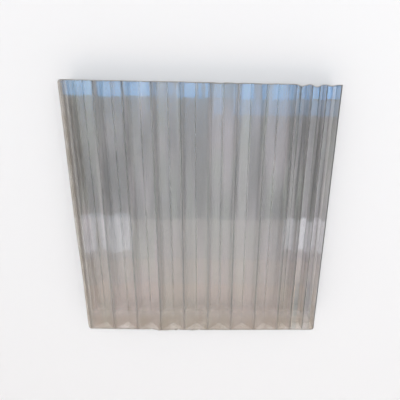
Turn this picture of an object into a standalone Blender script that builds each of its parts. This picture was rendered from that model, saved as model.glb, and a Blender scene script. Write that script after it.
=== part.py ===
"""A nearly square piece of clear three-wall polycarbonate sheet, lying flat.

X runs across the ribs, Y along the flutes and Z through the thickness.
The sheet is one extrusion: two skins, a middle wall, upright ribs, and a pair
of crossed webs in each cell. The side at -X is sawn through a cell and shows the
stubs of its walls. The side at +X is the maker's closed edge, with narrower cells,
of which the outer two have no crossed webs.
"""

import math

import bmesh
import bpy
from mathutils import Vector
from mathutils.geometry import delaunay_2d_cdt

# Overall sizes, in metres
LENGTH = 0.252
THICKNESS = 0.025

# Cells, from rib middle to rib middle, in metres
RIB_PITCH = 0.025
FULL_CELLS = 8
FIRST_EDGE_CELL = 0.0142
SECOND_EDGE_CELL = 0.0127
LAST_EDGE_CELL = 0.0124
SAWN_STUB = 0.0041

# Walls, in metres
SKIN = 0.0008
MIDDLE_WALL = 0.0002
RIB = 0.0006
WEB = 0.00025
SIDE_WALL = 0.0011

# Radii where walls meet and at the closed side's corners, in metres
WALL_FILLET = 0.00025
CROSSING_FILLET = 0.0001
SIDE_RADIUS = 0.0012
ARC_STEPS = 3

# How close two points of the section may lie before they count as one, in metres
SAME_POINT = 1e-6
# The triangulation's mode that fills only what the rings enclose
INSIDE_ONLY = 1
# Which of the section's rings is the outline; the others are hollows
OUTLINE_RING = 0

CLEAR_GREY = (0.72, 0.74, 0.76, 1.0)


def clear_scene():
    for old in list(bpy.data.objects):
        bpy.data.objects.remove(old)


def clear_plastic():
    """Clear glossy polycarbonate."""
    material = bpy.data.materials.new("clear_polycarbonate")
    material.use_nodes = True
    shader = material.node_tree.nodes["Principled BSDF"]
    shader.inputs["Base Color"].default_value = CLEAR_GREY
    shader.inputs["Roughness"].default_value = 0.06
    shader.inputs["Metallic"].default_value = 0.0
    shader.inputs["IOR"].default_value = 1.585
    shader.inputs["Transmission Weight"].default_value = 1.0
    return material


def line(start, end, shift=0.0):
    """The line from start to end, moved to its left by shift, as a*x + b*z = c."""
    run = (end - start).normalized()
    normal = Vector((-run.y, run.x))
    return normal.x, normal.y, normal.dot(start) + shift


def meeting(one, two):
    """The point that two lines share."""
    spread = one[0] * two[1] - one[1] * two[0]
    x = (one[2] * two[1] - one[1] * two[2]) / spread
    z = (one[0] * two[2] - one[2] * two[0]) / spread
    return Vector((x, z))


def arc(before, corner, after, radius):
    """Points on the round that takes a corner's place."""
    back = (before - corner).normalized()
    ahead = (after - corner).normalized()
    half = back.angle(ahead) / 2
    centre = corner + (back + ahead).normalized() * radius / math.sin(half)
    first = (corner + back * radius / math.tan(half) - centre).normalized()
    last = (corner + ahead * radius / math.tan(half) - centre).normalized()
    turns = [first.slerp(last, step / ARC_STEPS) for step in range(ARC_STEPS + 1)]
    return [centre + turn * radius for turn in turns]


def chamber(lines, radii):
    """The hollow inside a ring of lines, with a round between each line and the next."""
    corners = [meeting(one, two) for one, two in zip(lines, lines[1:] + lines[:1])]
    points = []
    for index, radius in enumerate(radii):
        following = corners[(index + 1) % len(corners)]
        points += arc(corners[index - 1], corners[index], following, radius)
    return points


def webbed_cell(left, right):
    """The six hollows of a cell with crossed webs, whose ribs' inner faces are at left and right."""
    low, high = SKIN, THICKNESS - SKIN
    middle = THICKNESS / 2
    low_left, low_right = Vector((left, low)), Vector((right, low))
    high_left, high_right = Vector((left, high)), Vector((right, high))
    middle_left, middle_right = Vector((left, middle)), Vector((right, middle))

    lower_skin = line(low_left, low_right)
    upper_skin = line(high_left, high_right)
    left_rib = line(low_left, high_left)
    right_rib = line(low_right, high_right)
    over_rising = line(low_left, high_right, WEB / 2)
    under_rising = line(low_left, high_right, -WEB / 2)
    over_falling = line(high_left, low_right, WEB / 2)
    under_falling = line(high_left, low_right, -WEB / 2)
    over_middle = line(middle_left, middle_right, MIDDLE_WALL / 2)
    under_middle = line(middle_left, middle_right, -MIDDLE_WALL / 2)
    rings = [
        [upper_skin, over_falling, over_rising],
        [left_rib, under_falling, over_middle],
        [right_rib, under_rising, over_middle],
        [left_rib, over_rising, under_middle],
        [right_rib, over_falling, under_middle],
        [lower_skin, under_rising, under_falling],
    ]
    radii = [WALL_FILLET, CROSSING_FILLET, WALL_FILLET]
    return [chamber(ring, radii) for ring in rings]


def plain_cell(left, right):
    """The two hollows, above and below the middle wall, of a cell without webs."""
    middle = THICKNESS / 2
    hollows = []
    for low, high in ((SKIN, middle - MIDDLE_WALL / 2), (middle + MIDDLE_WALL / 2, THICKNESS - SKIN)):
        corners = [Vector((left, low)), Vector((right, low)), Vector((right, high)), Vector((left, high))]
        ring = [line(start, end) for start, end in zip(corners, corners[1:] + corners[:1])]
        hollows.append(chamber(ring, [WALL_FILLET] * len(ring)))
    return hollows


def sawn_mouth(points, saw_x):
    """The part of a hollow that lies right of the saw cut, from its upper lip to its lower one."""
    count = len(points)
    starts = [i for i in range(count) if points[i - 1].x < saw_x <= points[i].x]
    if not starts:
        return []
    turned = points[starts[0]:] + points[:starts[0]]
    inside = [point for point in turned if point.x >= saw_x]
    lips = []
    for inner, outer in ((inside[0], turned[-1]), (inside[-1], turned[len(inside)])):
        share = (inner.x - saw_x) / (inner.x - outer.x)
        lips.append(inner.lerp(outer, share))
    path = [lips[0]] + inside + [lips[1]]
    if path[0].y < path[-1].y:
        path.reverse()
    return path


def rib_places(first):
    """Where the middles of the ribs lie, from the sawn side to the closed side wall."""
    places = [first + RIB_PITCH * index for index in range(FULL_CELLS + 1)]
    for width in (FIRST_EDGE_CELL, SECOND_EDGE_CELL, LAST_EDGE_CELL):
        places.append(places[-1] + width)
    return places


def section_loops():
    """The sheet's section: its outline, then each closed hollow."""
    edge_cells = FIRST_EDGE_CELL + SECOND_EDGE_CELL + LAST_EDGE_CELL
    width = SAWN_STUB + FULL_CELLS * RIB_PITCH + edge_cells + SIDE_WALL / 2
    saw_x = -width / 2
    closed_x = width / 2
    ribs = rib_places(saw_x + SAWN_STUB)

    hollows = []
    webbed = FULL_CELLS + 1
    for left, right in zip(ribs[:webbed], ribs[1:]):
        hollows += webbed_cell(left + RIB / 2, right - RIB / 2)
    second, last, side = ribs[webbed:]
    hollows += plain_cell(second + RIB / 2, last - RIB / 2)
    hollows += plain_cell(last + RIB / 2, side - SIDE_WALL / 2)

    low_saw, high_saw = Vector((saw_x, 0.0)), Vector((saw_x, THICKNESS))
    low_side, high_side = Vector((closed_x, 0.0)), Vector((closed_x, THICKNESS))
    outline = [low_saw]
    outline += arc(low_saw, low_side, high_side, SIDE_RADIUS)
    outline += arc(low_side, high_side, high_saw, SIDE_RADIUS)
    outline.append(high_saw)
    sawn_cell = webbed_cell(ribs[0] - RIB_PITCH + RIB / 2, ribs[0] - RIB / 2)
    mouths = [path for path in (sawn_mouth(points, saw_x) for points in sawn_cell) if path]
    mouths.sort(key=lambda path: -path[0].y)
    for path in mouths:
        outline += path
    return [outline] + hollows


def filled_section(mesh):
    """The solid part of the section as triangles. The hollows are convex, so a triangle
    whose three corners are on one hollow's ring lies inside that hollow and is left out."""
    points, sides, rings = [], [], []
    for ring, loop in enumerate(section_loops()):
        first = len(points)
        count = len(loop)
        points += loop
        rings += [ring] * count
        sides += [(first + index, first + (index + 1) % count) for index in range(count)]
    places, _, triangles, sources, *_ = delaunay_2d_cdt(points, sides, [], INSIDE_ONLY, SAME_POINT)
    corners = [mesh.verts.new((place.x, -LENGTH / 2, place.y)) for place in places]
    for triangle in triangles:
        on_rings = {rings[sources[index][0]] for index in triangle}
        if len(on_rings) > 1 or on_rings == {OUTLINE_RING}:
            mesh.faces.new([corners[index] for index in triangle])


def extruded_sheet(name):
    """The section drawn out along the flutes."""
    mesh = bmesh.new()
    filled_section(mesh)
    drawn = bmesh.ops.extrude_face_region(mesh, geom=mesh.faces[:])
    far_end = [item for item in drawn["geom"] if isinstance(item, bmesh.types.BMVert)]
    bmesh.ops.translate(mesh, verts=far_end, vec=(0.0, LENGTH, 0.0))
    bmesh.ops.recalc_face_normals(mesh, faces=mesh.faces[:])
    data = bpy.data.meshes.new(name)
    mesh.to_mesh(data)
    mesh.free()
    return bpy.data.objects.new(name, data)


def main():
    clear_scene()
    sheet = extruded_sheet("multiwall_sheet")
    sheet.data.materials.append(clear_plastic())
    sheet.data.set_sharp_from_angle(angle=math.radians(50))
    bpy.context.scene.collection.objects.link(sheet)


main()
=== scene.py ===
"""Looks of a clear multiwall polycarbonate sheet lying on a pale studio floor.

The near end is the one at -Y, lowest in the photograph, and the far end the one at +Y.
"""

import math

import bmesh
import bpy
from mathutils import Matrix, Vector, noise


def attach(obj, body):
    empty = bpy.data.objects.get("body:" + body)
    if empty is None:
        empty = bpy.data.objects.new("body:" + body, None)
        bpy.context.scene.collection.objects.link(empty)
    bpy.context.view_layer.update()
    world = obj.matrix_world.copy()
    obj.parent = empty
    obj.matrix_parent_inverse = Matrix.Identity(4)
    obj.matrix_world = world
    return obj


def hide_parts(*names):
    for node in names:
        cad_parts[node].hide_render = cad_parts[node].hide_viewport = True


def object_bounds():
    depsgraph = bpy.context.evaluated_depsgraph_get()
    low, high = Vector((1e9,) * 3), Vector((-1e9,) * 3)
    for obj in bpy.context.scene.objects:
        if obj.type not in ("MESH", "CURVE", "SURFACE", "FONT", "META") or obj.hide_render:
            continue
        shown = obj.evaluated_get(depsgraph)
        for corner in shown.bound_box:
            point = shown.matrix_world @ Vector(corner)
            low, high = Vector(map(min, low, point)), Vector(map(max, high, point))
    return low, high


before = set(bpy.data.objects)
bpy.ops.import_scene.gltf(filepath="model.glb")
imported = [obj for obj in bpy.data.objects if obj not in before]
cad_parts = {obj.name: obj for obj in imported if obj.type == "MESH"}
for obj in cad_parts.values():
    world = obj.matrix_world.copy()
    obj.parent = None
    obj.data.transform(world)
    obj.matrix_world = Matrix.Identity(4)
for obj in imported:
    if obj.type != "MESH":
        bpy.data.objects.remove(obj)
CAD_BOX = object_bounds()
LOW, HIGH = CAD_BOX
WIDTH, LENGTH, THICKNESS = HIGH - LOW

# Camera: place, aim and roll that put the upper skin's corners where the photograph has them
FRAME_PIXELS = 400
FOCAL_PIXELS = 345
SHIFT_PIXELS = -14
SENSOR_MM = 36.0
CLIP_START = 0.01
CAMERA_AT = Vector((0.0096, 0.1218, 0.3359))
CAMERA_AIM = Vector((0.0124, 0.0202, 0.025))
CAMERA_ROLL = 0.0118

# The ribs' places and thickness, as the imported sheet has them, in metres
SAWN_STUB = 0.0041
RIB_PITCH = 0.025
RIB = 0.0006
FULL_CELLS = 8
EDGE_CELLS = (0.0142, 0.0127, 0.0124)

# How finely the section is cut across, and where the sheet is cut along its length, in metres
CUT_SPACING = 0.002
SIDE_CUTS = (0.0003, 0.0008, 0.0014, 0.0022, 0.003)
END_CUTS = (0.0, 0.0007, 0.0018, 0.004, 0.009)
LONG_STEPS = 18
SAME_POINT = 1e-6
# Faces that meet at less than this are shaded as one curve, in degrees
SMOOTH_BELOW = 42

# Unevenness left by the die and by cooling, in metres: the skins' sag between ribs, with its steady and
# its varying share, the ribs' wander, which stops near the sides, and the skins' waves
SKIN_SAG = 0.0002
SAG_STEADY, SAG_VARIES = 0.75, 0.9
SAG_RUN = 0.12
RIB_WANDER = 0.00002
WANDER_WIDE, WANDER_LONG = 0.021, 0.20
WANDER_STOPS = 0.004
SKIN_WAVE = 0.000012
WAVE_WIDE, WAVE_LONG = 0.013, 0.09

# Where each unevenness starts in the noise, so that no two are alike, and how far apart in it two cells
# and the two skins lie
SAG_START, WAVE_START, WANDER_START, NEAR_START, FAR_START = 1.7, 9.7, 3.1, 4.2, 8.8
CELLS_APART, SKINS_APART = 7.3, 0.4

# What the saw left, in metres: worn corners, a bowed near end and a slanting far one, a sawn side that
# drifts inward towards the near end, how rough both cuts are and how wide and high their roughness is,
# and the dips in each end as middle, half width and depth, where a burr that stands out has a depth below
# nothing. The near end's dips are in the upper part of its height, between the two shares given. The far
# end's dips lean across on their way down.
CORNERS = {(-1, 1): 0.0022, (1, 1): 0.0005, (1, -1): 0.0034, (-1, -1): 0.0042}
NEAR_BOW, BOW_MIDDLE = 0.0011, -0.01
NEAR_PROUD = 0.0019
FAR_SLANT = 0.0009
SAW_DRIFT = 0.0013
DRIFT_FROM, DRIFT_FULLY = 0.0, 0.07
ROUGH_CUT = 0.00015
NEAR_ROUGH_WIDE, NEAR_ROUGH_HIGH = 0.004, 0.009
FAR_ROUGH_WIDE, FAR_ROUGH_HIGH = 0.006, 0.008
NEAR_DIPS = (
    (-0.0533, 0.0020, 0.0007),
    (-0.0453, 0.0030, -0.0006),
    (-0.0400, 0.0130, -0.0009),
    (-0.0272, 0.0016, -0.0009),
    (-0.0240, 0.0018, 0.0007),
    (-0.0095, 0.0050, -0.0007),
    (-0.0022, 0.0016, 0.0007),
    (0.0140, 0.0020, 0.0005),
)
FAR_DIPS = (
    (0.0147, 0.006, 0.0006),
    (0.0309, 0.005, 0.0005),
    (0.0557, 0.010, 0.0003),
    (0.0868, 0.0062, 0.0016),
    (0.0996, 0.0058, 0.0021),
    (0.1125, 0.0052, 0.0011),
)
NEAR_DIPS_BEGIN, NEAR_DIPS_FULLY = 0.5, 0.9
DIP_LEAN = 0.007

# Which faces are sawn ones, ribs' sides, webs' sides and the ends' rims: how squarely they face along,
# across or up, how far inside the sawn side the ribs begin, and the places of their materials
FLAT_ON = 0.7
UPRIGHT = 0.97
LEVEL = 0.9
RIBS_BEGIN = 0.0015
SAWN, RIB_SIDE, WEB_SIDE, RIM = 1, 2, 3, 4

# The plastic: its refraction, its body's colour and density, what each face lets through of a lamp, the
# colours of its skins and sawn faces, the darker tints of its closed side and its ribs' sides, which are
# painted shade, and how rough its ribs and webs are
REFRACTION = 1.585
BODY_COLOUR = (0.70, 0.70, 0.70, 1)
BODY_DENSITY = 20.0
LAMP_PASSES = (0.98, 0.98, 0.98, 1)
CLEAR = (0.985, 0.985, 0.985, 1)
# Painted shade: the skins take this darker grey over the cells next to the closed side
CLOSED_SIDE_PAINTED_SHADE = (0.92, 0.915, 0.92, 1)
# Painted shade: the ribs' sides are given this darker, warmer tint
RIB_PAINTED_SHADE = (0.69, 0.68, 0.665, 1)
FROSTED = (0.86, 0.86, 0.85, 1)
RIB_ROUGHNESS, WEB_ROUGHNESS = 0.3, 0.2

# Dust and scuffs at the upper near end, along the sawn side and on both ends' rims, whose brown and
# dimming are partly painted shade that darkens the open edges: the insets where they are thickest and
# where they stop, the heights where they begin and where they are thickest, their colour, how clear the
# plastic is under them and how rough a rim is
NEAR_DUST_AND_SHADE = (0.013, 0.025)
HIGH_DUST_AND_SHADE = (0.010, 0.016)
SIDE_DUST_AND_SHADE = (0.004, 0.008)
# Sawdust and painted shade: the open edges and the rims darken to this brown
DUST_AND_SHADE_COLOUR = (0.505, 0.465, 0.415, 1)
DUST_AND_SHADE_CLEARNESS = 0.69
RIM_ROUGHNESS = 0.4

# Textures: how many waves fit in a metre along each axis, with how much finer detail
DIE_LINES = ((700, 5, 700), 3)
HAZE = ((45, 45, 45), 5)
INNER_LINES = ((900, 6, 900), 3)
SAW_SCORES = ((1500, 1500, 300), 4)
DUST_AND_SHADE_PATCHES = ((75, 60, 75), 4)
# How high they stand, in metres
DIE_LINES_HEIGHT = 0.000006
INNER_LINES_HEIGHT = 0.000002
SAW_SCORES_HEIGHT = 0.0002
# Which part of a texture's range counts, and the values that it turns into
HAZE_RANGE, HAZE_ROUGHNESS = (0.35, 0.75), (0.005, 0.04)
SCORES_RANGE, SCORES_ROUGHNESS = (0.3, 0.7), (0.35, 0.6)
PATCHES_RANGE, PATCHES_DUST_AND_SHADE = (0.35, 0.6), (0.72, 1.0)

# The floor, in metres: its size and how far it lies under the sheet
FLOOR_SIZE = 8
FLOOR_BELOW = 0.0005
FLOOR_COLOUR = (0.88, 0.88, 0.875, 1)
FLOOR_ROUGHNESS = 0.9

# The room: how bright its walls and ceiling are, and where one turns into the other, as the sine of the
# height for the ceiling and as the sine of the turn towards -Y for the front wall. The ceiling has bands
# and tints, as textures over the sphere of directions, and the bands are fainter towards -Y.
WALL_RADIANCE = 0.35
FRONT_RADIANCE = 0.85
SIDES_END, FRONT_STARTS = -0.30, -0.40
CEILING_BANDS, BANDS_RANGE = ((22, 2.5, 0), 2), (0.42, 0.62)
CEILING_DARK, CEILING_LIGHT = 0.0, 1.2
CEILING_EVEN, EVEN_SHARE = 0.5, 0.6
EVEN_FROM, EVEN_FULLY = -0.34, -0.46
WALL_COLOUR = (1.0, 0.985, 0.97, 1)
CEILING_TINTS, TINTS_RANGE = ((16, 4, 0), 1), (0.4, 0.6)
CEILING_GREENISH, CEILING_ROSY = (0.90, 1.0, 0.86, 1), (1.12, 0.94, 1.05, 1)
WALLS_END, CEILING_STARTS = 0.55, 0.75

# Soft panels that face down, each hung a little lower than the one before: left, right, near and far
# edges in metres, and their radiance
PANEL_HEIGHT = 2.0
PANEL_STEP = 0.004
SKY = (0.25, 1.10, 2.35)
FAINT_SKY = (0.10, 0.45, 0.92)
HAZY_SKY = (0.03, 0.22, 0.44)
PALE = (0.59, 0.50, 0.46)
WINDOW = (0.85, 0.95, 1.1)
WARMER = (0.80, 0.61, 0.47)
WARM = (1.02, 0.68, 0.45)
PANELS = (
    (-0.96, -0.75, 0.068, 0.30, SKY),
    (-0.67, -0.56, 0.062, 0.30, SKY),
    (-0.52, -0.41, 0.068, 0.30, SKY),
    (-0.40, -0.29, 0.070, 0.30, FAINT_SKY),
    (-0.24, -0.14, 0.050, 0.30, SKY),
    (-0.10, 0.01, 0.060, 0.30, SKY),
    (0.08, 0.16, 0.055, 0.30, FAINT_SKY),
    (0.25, 0.37, 0.050, 0.30, SKY),
    (0.43, 0.54, 0.050, 0.30, SKY),
    (0.55, 0.64, 0.055, 0.30, SKY),
    (0.68, 0.90, 0.060, 0.30, SKY),
    (-1.00, 0.94, 0.055, 0.30, HAZY_SKY),
    (0.08, 0.90, -0.045, 0.05, FAINT_SKY),
    (-1.25, 1.25, -1.05, -0.75, PALE),
    (-0.85, -0.53, -1.00, -0.72, WINDOW),
    (0.48, 0.86, -0.98, -0.74, WINDOW),
    (-1.25, 0.80, -1.25, -1.05, WARMER),
    (-1.25, 0.70, -2.00, -1.25, WARM),
    (0.80, 1.25, -2.00, -1.05, PALE),
)
KEY_AT = (0.4, 1.15, 2.05)
KEY_SIZE = (3.4, 1.3)
KEY_RADIANCE = (2.82, 2.82, 2.82)

# How often light may turn on its way through the sheet's many walls
LIGHT_BOUNCES = 32
GLOSSY_BOUNCES = 16
TRANSPARENT_BOUNCES = 64


def rib_places():
    """Where the middles of the ribs lie, from the sawn side to the closed side wall."""
    places = [LOW.x + SAWN_STUB + RIB_PITCH * index for index in range(FULL_CELLS + 1)]
    for width in EDGE_CELLS:
        places.append(places[-1] + width)
    return places


RIBS = rib_places()
STUB_ENDS = RIBS[0] - RIB


def cell_at(x):
    """The cell that x lies in, and how far across it, from 0 to 1."""
    if x < RIBS[0]:
        return -1, 1 - (RIBS[0] - x) / RIB_PITCH
    for index, (left, right) in enumerate(zip(RIBS, RIBS[1:])):
        if x < right:
            return index, (x - left) / (right - left)
    return len(RIBS) - 1, 1.0


def smooth_step(low, high, value):
    """From 0 at low to 1 at high, with a soft start and end."""
    share = min(max((value - low) / (high - low), 0.0), 1.0)
    return share * share * (3 - 2 * share)


def corner_cut(x, side):
    """How much of the end is worn away beside a corner."""
    worn = 0.0
    for (across, along), radius in CORNERS.items():
        inward = WIDTH / 2 - across * x
        if along == side and inward < radius:
            worn = radius - math.sqrt(radius ** 2 - (radius - inward) ** 2)
    return worn


def dipped(x, dips):
    """How deep an end's dips are at x, all together."""
    return sum(depth * (1 - smooth_step(0.0, half, abs(x - middle))) for middle, half, depth in dips)


def near_end_cut(x, z):
    """How far the near end lies inside its straight cut. Its dips are in the upper skin."""
    bow = NEAR_BOW * smooth_step(0.0, WIDTH / 2, abs(x - BOW_MIDDLE)) - NEAR_PROUD
    share = smooth_step(THICKNESS * NEAR_DIPS_BEGIN, THICKNESS * NEAR_DIPS_FULLY, z)
    dip = dipped(x, NEAR_DIPS) * share
    rough = ROUGH_CUT * noise.noise(Vector((x / NEAR_ROUGH_WIDE, z / NEAR_ROUGH_HIGH, NEAR_START)))
    return bow + dip + rough + corner_cut(x, -1)


def far_end_cut(x, z):
    """How far the far end lies inside its straight cut."""
    slant = FAR_SLANT * x / (WIDTH / 2)
    rough = ROUGH_CUT * noise.noise(Vector((x / FAR_ROUGH_WIDE, z / FAR_ROUGH_HIGH, FAR_START)))
    lean = DIP_LEAN * (1 - z / THICKNESS)
    return slant + dipped(x - lean, FAR_DIPS) + rough + corner_cut(x, 1)


def unevened(x, z, y):
    """Where cooling and the saw left a point of the straight section."""
    index, across = cell_at(x)
    level = z / THICKNESS * 2 - 1
    varying = SAG_VARIES * noise.noise(Vector((index * CELLS_APART, y / SAG_RUN, SAG_START)))
    sag = SKIN_SAG * (SAG_STEADY + varying)
    wave = SKIN_WAVE * (1 + noise.noise(Vector((x / WAVE_WIDE, y / WAVE_LONG, WAVE_START + level))))
    wander_at = Vector((x / WANDER_WIDE, y / WANDER_LONG, WANDER_START + SKINS_APART * level))
    wander = RIB_WANDER * noise.noise(wander_at)
    inside = smooth_step(0.0, WANDER_STOPS, WIDTH / 2 - abs(x))
    z -= level * (sag * math.sin(math.pi * across) ** 2 + wave)
    side = 1 if y > 0 else -1
    reach = smooth_step(LENGTH / 2 - END_CUTS[-1], LENGTH / 2, abs(y))
    cut = far_end_cut(x, z) if side > 0 else near_end_cut(x, z)
    in_stub = 1 - smooth_step(LOW.x, STUB_ENDS, x)
    drift = SAW_DRIFT * smooth_step(DRIFT_FROM, DRIFT_FULLY, -y) * in_stub
    return Vector((x + wander * inside + drift, y - side * cut * reach, z))


def cut_section():
    """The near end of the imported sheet, cut finer across, as a mesh of the section."""
    mesh = bmesh.new()
    mesh.from_mesh(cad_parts["multiwall_sheet"].data)
    away = [corner for corner in mesh.verts if corner.co.y > LOW.y + SAME_POINT]
    bmesh.ops.delete(mesh, geom=away, context="VERTS")
    bmesh.ops.remove_doubles(mesh, verts=mesh.verts[:], dist=SAME_POINT)
    steps = round(WIDTH / CUT_SPACING)
    cuts = [LOW.x + WIDTH * step / steps for step in range(1, steps)]
    cuts += [LOW.x + inset for inset in SIDE_CUTS] + [HIGH.x - inset for inset in SIDE_CUTS]
    cuts += [middle + half * side for middle, half, _ in NEAR_DIPS for side in (-1, 0, 1)]
    for cut in cuts:
        everything = mesh.verts[:] + mesh.edges[:] + mesh.faces[:]
        at = (cut, 0, 0)
        bmesh.ops.bisect_plane(mesh, geom=everything, dist=SAME_POINT, plane_co=at, plane_no=(1, 0, 0))
    return mesh


def stations():
    """Where the sheet is cut along its length."""
    near = [LOW.y + inset for inset in END_CUTS]
    far = [HIGH.y - inset for inset in reversed(END_CUTS)]
    run = far[0] - near[-1]
    return near + [near[-1] + run * step / LONG_STEPS for step in range(1, LONG_STEPS)] + far


def sort_faces(data):
    """Tell each face of the drawn sheet which of its materials it has."""
    for face in data.polygons:
        x, y, z = face.center
        at_sawn_side = face.normal.x < -FLAT_ON and x < LOW.x + SAW_DRIFT + SIDE_CUTS[0]
        at_near_rim = y < LOW.y + near_end_cut(x, z) + END_CUTS[1]
        at_far_rim = y > HIGH.y - far_end_cut(x, z) - END_CUTS[1]
        if abs(face.normal.y) > FLAT_ON or at_sawn_side:
            face.material_index = SAWN
        elif at_near_rim or at_far_rim:
            face.material_index = RIM
        elif abs(face.normal.x) > UPRIGHT and x > LOW.x + RIBS_BEGIN:
            face.material_index = RIB_SIDE
        elif abs(face.normal.z) < LEVEL:
            face.material_index = WEB_SIDE


def drawn_sheet():
    """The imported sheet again, in fine steps, with the unevenness of the real one."""
    section = cut_section()
    section.verts.index_update()
    places = [(corner.co.x, corner.co.z) for corner in section.verts]
    caps = [[corner.index for corner in face.verts] for face in section.faces]
    rims = []
    for edge in section.edges:
        if len(edge.link_loops) == 1:
            loop = edge.link_loops[0]
            rims.append((loop.vert.index, loop.link_loop_next.vert.index))
    facing = sum(face.normal.y * face.calc_area() for face in section.faces)
    section.free()

    count = len(places)
    along = stations()
    points = [unevened(x, z, y) for y in along for x, z in places]
    last = count * (len(along) - 1)
    faces = [list(cap) for cap in caps]
    faces += [[last + index for index in reversed(cap)] for cap in caps]
    for step in range(len(along) - 1):
        here, there = step * count, (step + 1) * count
        faces += [[b + here, a + here, a + there, b + there] for a, b in rims]
    data = bpy.data.meshes.new("polycarbonate_sheet")
    data.from_pydata(points, [], faces)
    mesh = bmesh.new()
    mesh.from_mesh(data)
    loose = [corner for corner in mesh.verts if not corner.link_faces]
    bmesh.ops.delete(mesh, geom=loose, context="VERTS")
    if facing > 0:
        bmesh.ops.reverse_faces(mesh, faces=mesh.faces[:])
    mesh.to_mesh(data)
    mesh.free()
    sort_faces(data)
    made = bpy.data.objects.new("polycarbonate_sheet", data)
    bpy.context.scene.collection.objects.link(made)
    data.shade_smooth()
    data.set_sharp_from_angle(angle=math.radians(SMOOTH_BELOW))
    return made


def plastic(name):
    """Polycarbonate that lamps shine through, with its shader, texture place and node tree."""
    material = bpy.data.materials.new(name)
    material.use_nodes = True
    tree = material.node_tree
    nodes, links = tree.nodes, tree.links
    nodes.clear()
    out = nodes.new("ShaderNodeOutputMaterial")
    solid = nodes.new("ShaderNodeBsdfPrincipled")
    solid.inputs["IOR"].default_value = REFRACTION
    solid.inputs["Transmission Weight"].default_value = 1.0
    shade = nodes.new("ShaderNodeBsdfTransparent")
    shade.inputs["Color"].default_value = LAMP_PASSES
    path = nodes.new("ShaderNodeLightPath")
    mix = nodes.new("ShaderNodeMixShader")
    links.new(path.outputs["Is Shadow Ray"], mix.inputs["Fac"])
    links.new(solid.outputs[0], mix.inputs[1])
    links.new(shade.outputs[0], mix.inputs[2])
    links.new(mix.outputs[0], out.inputs["Surface"])
    body = nodes.new("ShaderNodeVolumeAbsorption")
    body.inputs["Color"].default_value = BODY_COLOUR
    body.inputs["Density"].default_value = BODY_DENSITY
    links.new(body.outputs[0], out.inputs["Volume"])
    place = nodes.new("ShaderNodeTexCoord")
    return material, tree, solid, place.outputs["Object"]


def grain(tree, place, scale, detail):
    """A noise that is finer or coarser along each axis, as its scale says."""
    stretch = tree.nodes.new("ShaderNodeMapping")
    stretch.inputs["Scale"].default_value = scale
    noisy = tree.nodes.new("ShaderNodeTexNoise")
    noisy.inputs["Scale"].default_value = 1.0
    noisy.inputs["Detail"].default_value = detail
    tree.links.new(place, stretch.inputs["Vector"])
    tree.links.new(stretch.outputs["Vector"], noisy.inputs["Vector"])
    return noisy.outputs["Fac"]


def mapped(tree, value, from_range, to_range):
    """A value of one range as the value at the same place in another."""
    spread = tree.nodes.new("ShaderNodeMapRange")
    spread.inputs["From Min"].default_value, spread.inputs["From Max"].default_value = from_range
    spread.inputs["To Min"].default_value, spread.inputs["To Max"].default_value = to_range
    tree.links.new(value, spread.inputs["Value"])
    return spread.outputs["Result"]


def combined(tree, operation, one, two):
    """What the operation makes of two values."""
    both = tree.nodes.new("ShaderNodeMath")
    both.operation = operation
    tree.links.new(one, both.inputs[0])
    tree.links.new(two, both.inputs[1])
    return both.outputs[0]


def raised(tree, height, distance):
    """The direction a face has where the height raises it by up to the distance."""
    bump = tree.nodes.new("ShaderNodeBump")
    bump.inputs["Distance"].default_value = distance
    tree.links.new(height, bump.inputs["Height"])
    return bump.outputs["Normal"]


def blended(tree, share, one, two):
    """The colour one, turning into the colour two as the share goes from 0 to 1."""
    blend = tree.nodes.new("ShaderNodeMix")
    blend.data_type = "RGBA"
    blend.inputs["A"].default_value = one
    blend.inputs["B"].default_value = two
    tree.links.new(share, blend.inputs["Factor"])
    return blend.outputs["Result"]


def dusted_and_shaded(tree, place, solid, tint_and_shade, side_tint_and_shade):
    """A plastic's colour over the sheet, turning to the side's tint at its closed side, which on the skins
    and ribs is painted shade, and darker and less clear in patches along the open edges, from sawdust and
    painted shade.
    """
    split = tree.nodes.new("ShaderNodeSeparateXYZ")
    tree.links.new(place, split.inputs["Vector"])
    near = mapped(tree, split.outputs["Y"], [LOW.y + inset for inset in NEAR_DUST_AND_SHADE], (1.0, 0.0))
    near = combined(tree, "MULTIPLY", near, mapped(tree, split.outputs["Z"], HIGH_DUST_AND_SHADE, (0.0, 1.0)))
    beside = mapped(tree, split.outputs["X"], [LOW.x + inset for inset in SIDE_DUST_AND_SHADE], (1.0, 0.0))
    # Painted shade: the tint turns to the side's one across the cell before the last and stays so to the
    # closed side
    closed = mapped(tree, split.outputs["X"], (RIBS[-3], RIBS[-2]), (0.0, 1.0))
    patchy = mapped(tree, grain(tree, place, *DUST_AND_SHADE_PATCHES), PATCHES_RANGE, PATCHES_DUST_AND_SHADE)
    # Sawdust and painted shade: darker and less clear in patches near the upper near end and the sawn side
    dust_and_shade = combined(tree, "MULTIPLY", combined(tree, "MAXIMUM", near, beside), patchy)
    tree.links.new(mapped(tree, dust_and_shade, (0, 1), (1.0, DUST_AND_SHADE_CLEARNESS)), solid.inputs["Transmission Weight"])
    coloured = blended(tree, dust_and_shade, tint_and_shade, DUST_AND_SHADE_COLOUR)
    tree.links.new(blended(tree, closed, tint_and_shade, side_tint_and_shade), coloured.node.inputs["A"])
    tree.links.new(coloured, solid.inputs["Base Color"])


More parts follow.
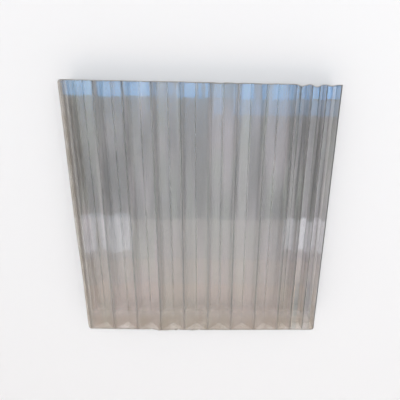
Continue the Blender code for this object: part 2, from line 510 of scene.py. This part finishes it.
def clear_plastic():
    """The drawn faces: clear, with the die's fine lines along them, a painted shade over the cells at the
    closed side, and a trace of handling along the open edges that is partly painted shade.
    """
    material, tree, solid, place = plastic("clear_polycarbonate")
    dusted_and_shaded(tree, place, solid, CLEAR, CLOSED_SIDE_PAINTED_SHADE)
    lines = grain(tree, place, *DIE_LINES)
    tree.links.new(raised(tree, lines, DIE_LINES_HEIGHT), solid.inputs["Normal"])
    haze = grain(tree, place, *HAZE)
    tree.links.new(mapped(tree, haze, HAZE_RANGE, HAZE_ROUGHNESS), solid.inputs["Roughness"])
    return material


def inner_plastic(name, tint_and_shade, roughness):
    """The sides of the ribs or the webs, which cooled in air and are less glossy than the skins, in the
    tint given, which for the ribs is a painted shade.
    """
    material, tree, solid, place = plastic(name)
    dusted_and_shaded(tree, place, solid, tint_and_shade, tint_and_shade)
    solid.inputs["Roughness"].default_value = roughness
    lines = grain(tree, place, *INNER_LINES)
    tree.links.new(raised(tree, lines, INNER_LINES_HEIGHT), solid.inputs["Normal"])
    return material


def rim_plastic():
    """The outermost strip of the drawn faces at each end, where sawdust has stuck and painted shade draws
    the ends' edges dark.
    """
    material, _, solid, _ = plastic("rim_polycarbonate")
    # Sawdust and painted shade: the rims are drawn in the brown and less clear
    solid.inputs["Base Color"].default_value = DUST_AND_SHADE_COLOUR
    solid.inputs["Transmission Weight"].default_value = DUST_AND_SHADE_CLEARNESS
    solid.inputs["Roughness"].default_value = RIM_ROUGHNESS
    return material


def sawn_plastic():
    """The sawn faces: the same plastic, frosted and scored by the saw."""
    material, tree, solid, place = plastic("sawn_polycarbonate")
    solid.inputs["Base Color"].default_value = FROSTED
    scores = grain(tree, place, *SAW_SCORES)
    tree.links.new(raised(tree, scores, SAW_SCORES_HEIGHT), solid.inputs["Normal"])
    tree.links.new(mapped(tree, scores, SCORES_RANGE, SCORES_ROUGHNESS), solid.inputs["Roughness"])
    return material


def camera():
    """The view down onto the sheet from above its far end, turned about its own line by the roll."""
    data = bpy.data.cameras.new("camera")
    data.sensor_width = SENSOR_MM
    data.lens = FOCAL_PIXELS / FRAME_PIXELS * SENSOR_MM
    data.shift_x = SHIFT_PIXELS / FRAME_PIXELS
    data.clip_start = CLIP_START
    view = (CAMERA_AIM - CAMERA_AT).normalized()
    right = view.cross(Vector((0, 1, 0))).normalized()
    up = right.cross(view)
    turned = right * math.cos(CAMERA_ROLL) + up * math.sin(CAMERA_ROLL)
    up = up * math.cos(CAMERA_ROLL) - right * math.sin(CAMERA_ROLL)
    place = Matrix((turned, up, -view)).transposed().to_4x4()
    place.translation = CAMERA_AT
    made = bpy.data.objects.new("camera", data)
    made.matrix_world = place
    bpy.context.scene.collection.objects.link(made)
    bpy.context.scene.camera = made


def floor():
    """A plain pale floor just under the sheet."""
    bpy.ops.mesh.primitive_plane_add(size=FLOOR_SIZE)
    made = bpy.context.object
    made.name = "studio_floor"
    made.location.z = -FLOOR_BELOW
    paint = bpy.data.materials.new("pale_floor")
    paint.use_nodes = True
    shader = paint.node_tree.nodes["Principled BSDF"]
    shader.inputs["Base Color"].default_value = FLOOR_COLOUR
    shader.inputs["Roughness"].default_value = FLOOR_ROUGHNESS
    made.data.materials.append(paint)


def softbox(name, at, aim, size, radiance):
    """A soft light whose face has the radiance given as red, green and blue."""
    strongest = max(radiance)
    data = bpy.data.lights.new(name, "AREA")
    data.shape = "RECTANGLE"
    data.size, data.size_y = size
    data.energy = strongest * math.pi * size[0] * size[1]
    data.color = [part / strongest for part in radiance]
    made = bpy.data.objects.new(name, data)
    made.location = at
    made.rotation_euler = (Vector(aim) - Vector(at)).to_track_quat("-Z", "Y").to_euler()
    bpy.context.scene.collection.objects.link(made)


def lighting():
    """The soft panels overhead and the large soft light above and beyond the far end."""
    for place, (left, right, near, far, radiance) in enumerate(PANELS):
        at = Vector(((left + right) / 2, (near + far) / 2, PANEL_HEIGHT - PANEL_STEP * place))
        softbox("soft_panel", at, at - Vector((0, 0, 1)), (right - left, far - near), radiance)
    softbox("key_panel", KEY_AT, (0, 0, 0), KEY_SIZE, KEY_RADIANCE)


def studio_room():
    """Grey walls, brighter past the near end, under a ceiling with soft bands along the flutes."""
    world = bpy.data.worlds.new("studio")
    world.use_nodes = True
    tree = world.node_tree
    place = tree.nodes.new("ShaderNodeTexCoord").outputs["Generated"]
    split = tree.nodes.new("ShaderNodeSeparateXYZ")
    tree.links.new(place, split.inputs["Vector"])
    bands = grain(tree, place, *CEILING_BANDS)
    bands = mapped(tree, bands, BANDS_RANGE, (CEILING_DARK, CEILING_LIGHT))
    evened = mapped(tree, split.outputs["Y"], (EVEN_FULLY, EVEN_FROM), (EVEN_SHARE, 0.0))
    ceiling = mapped(tree, evened, (0.0, 1.0), (0.0, CEILING_EVEN))
    tree.links.new(bands, ceiling.node.inputs["To Min"])
    walls = mapped(tree, split.outputs["Y"], (SIDES_END, FRONT_STARTS), (WALL_RADIANCE, FRONT_RADIANCE))
    overhead = mapped(tree, split.outputs["Z"], (WALLS_END, CEILING_STARTS), (0.0, 1.0))
    overhead.node.interpolation_type = "SMOOTHSTEP"
    strength = mapped(tree, overhead, (0.0, 1.0), (0.0, 1.0))
    tree.links.new(walls, strength.node.inputs["To Min"])
    tree.links.new(ceiling, strength.node.inputs["To Max"])
    hue = mapped(tree, grain(tree, place, *CEILING_TINTS), TINTS_RANGE, (0.0, 1.0))
    colour = blended(tree, overhead, WALL_COLOUR, CEILING_GREENISH)
    tree.links.new(blended(tree, hue, CEILING_GREENISH, CEILING_ROSY), colour.node.inputs["B"])
    back = tree.nodes["Background"]
    tree.links.new(colour, back.inputs["Color"])
    tree.links.new(strength, back.inputs["Strength"])
    bpy.context.scene.world = world


sheet = drawn_sheet()
sheet.data.materials.append(clear_plastic())
sheet.data.materials.append(sawn_plastic())
sheet.data.materials.append(inner_plastic("rib_polycarbonate", RIB_PAINTED_SHADE, RIB_ROUGHNESS))
sheet.data.materials.append(inner_plastic("web_polycarbonate", CLEAR, WEB_ROUGHNESS))
sheet.data.materials.append(rim_plastic())
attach(sheet, "root")
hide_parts("multiwall_sheet")
camera()
floor()
lighting()
studio_room()

bpy.context.scene.view_settings.view_transform = "Standard"
cycles = bpy.context.scene.cycles
cycles.max_bounces = LIGHT_BOUNCES
cycles.transmission_bounces = LIGHT_BOUNCES
cycles.glossy_bounces = GLOSSY_BOUNCES
cycles.transparent_max_bounces = TRANSPARENT_BOUNCES
cycles.caustics_refractive = False
cycles.caustics_reflective = False
